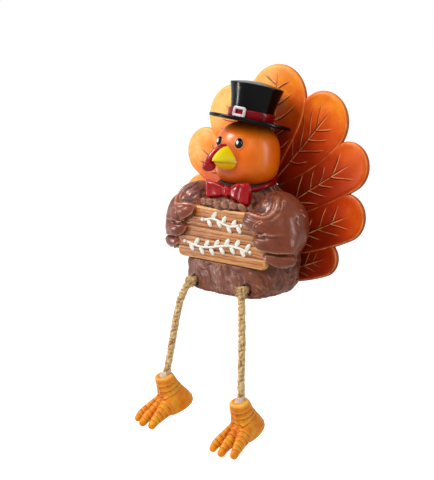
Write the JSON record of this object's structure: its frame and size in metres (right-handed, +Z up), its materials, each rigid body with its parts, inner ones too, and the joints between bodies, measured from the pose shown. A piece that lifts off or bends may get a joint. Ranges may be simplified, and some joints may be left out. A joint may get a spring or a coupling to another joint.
{
  "type": "turkey shelf sitter figure",
  "caption": "Seated turkey figure for a shelf edge, with a top hat, bow tie, blank wooden board, fan tail and feet that dangle on ropes.",
  "frame": {"origin": "centre of the flat seat face under the body, which rests on a shelf; the legs hang below it", "axes": "+Z up, -Y the way the turkey faces, +X the turkey's own left"},
  "size_m": [0.1132, 0.0711, 0.1778],
  "materials": {
    "torso_brown": "satin painted resin with rubbed highlights",
    "wing_brown": "satin painted resin with rubbed highlights",
    "board_ochre": "painted wood grain with white relief ornament",
    "gloss_red": "gloss painted resin",
    "fan_orange": "satin painted resin, dark red at the roots to orange at the tips",
    "head_orange": "satin painted resin",
    "eye_black": "gloss painted resin",
    "beak_yellow": "satin painted resin",
    "hat_black": "gloss painted resin",
    "buckle_silver": "gloss painted resin",
    "jute_rope": "twisted natural jute",
    "foot_orange": "satin painted resin with dark rings"
  },
  "bodies": {
    "figure": {"torso": "torso_brown", "left_wing": "wing_brown", "right_wing": "wing_brown", "sign_board": "board_ochre", "neck_band": "gloss_red", "bow_knot": "gloss_red", "bow_left_loop": "gloss_red", "bow_right_loop": "gloss_red", "snood": "gloss_red", "hat_band": "gloss_red", "head": "head_orange", "left_eye": "eye_black", "right_eye": "eye_black", "beak_upper": "beak_yellow", "beak_lower": "beak_yellow", "hat_brim": "hat_black", "hat_crown": "hat_black", "hat_buckle": "buckle_silver", "tail_feather_center": "fan_orange", "tail_feather_left_1": "fan_orange", "tail_feather_left_2": "fan_orange", "tail_feather_left_3": "fan_orange", "tail_feather_left_4": "fan_orange", "tail_feather_right_1": "fan_orange", "tail_feather_right_2": "fan_orange", "tail_feather_right_3": "fan_orange", "tail_feather_right_4": "fan_orange", "tail_cover": "fan_orange", "left_rope_plug": "jute_rope", "right_rope_plug": "jute_rope"},
    "left_hip": {"left_rope_knot": "jute_rope"},
    "left_leg": {"left_leg_rope": "jute_rope"},
    "left_ankle": {"left_ankle_bead": "jute_rope"},
    "left_foot": {"left_foot": "foot_orange"},
    "right_hip": {"right_rope_knot": "jute_rope"},
    "right_leg": {"right_leg_rope": "jute_rope"},
    "right_ankle": {"right_ankle_bead": "jute_rope"},
    "right_foot": {"right_foot": "foot_orange"}
  },
  "joints": [
    {"name": "left_hip_swing", "type": "hinge", "parent": "figure", "child": "left_hip", "pos_m": [0.0163, -0.0219, 0.0042], "axis": [-1, 0, 0], "range_deg": [-5, 85]},
    {"name": "left_leg_splay", "type": "hinge", "parent": "left_hip", "child": "left_leg", "pos_m": [0.0163, -0.0219, 0.0042], "axis": [0, -1, 0], "range_deg": [-3, 40]},
    {"name": "left_foot_turn", "type": "hinge", "parent": "left_leg", "child": "left_ankle", "pos_m": [0.0163, -0.0219, -0.04755], "axis": [0, 0, 1], "range_deg": [-12, 60]},
    {"name": "left_ankle_swing", "type": "hinge", "parent": "left_ankle", "child": "left_foot", "pos_m": [0.0163, -0.0219, -0.04755], "axis": [-1, 0, 0], "range_deg": [-30, 30]},
    {"name": "right_hip_swing", "type": "hinge", "parent": "figure", "child": "right_hip", "pos_m": [-0.0163, -0.0219, 0.0042], "axis": [-1, 0, 0], "range_deg": [-5, 85]},
    {"name": "right_leg_splay", "type": "hinge", "parent": "right_hip", "child": "right_leg", "pos_m": [-0.0163, -0.0219, 0.0042], "axis": [0, 1, 0], "range_deg": [-21.5, 21.5]},
    {"name": "right_foot_turn", "type": "hinge", "parent": "right_leg", "child": "right_ankle", "pos_m": [-0.03272, -0.0219, -0.04488], "axis": [0, 0, -1], "range_deg": [-12, 60]},
    {"name": "right_ankle_swing", "type": "hinge", "parent": "right_ankle", "child": "right_foot", "pos_m": [-0.03272, -0.0219, -0.04488], "axis": [-1, 0, 0], "range_deg": [-30, 30]}
  ]
}
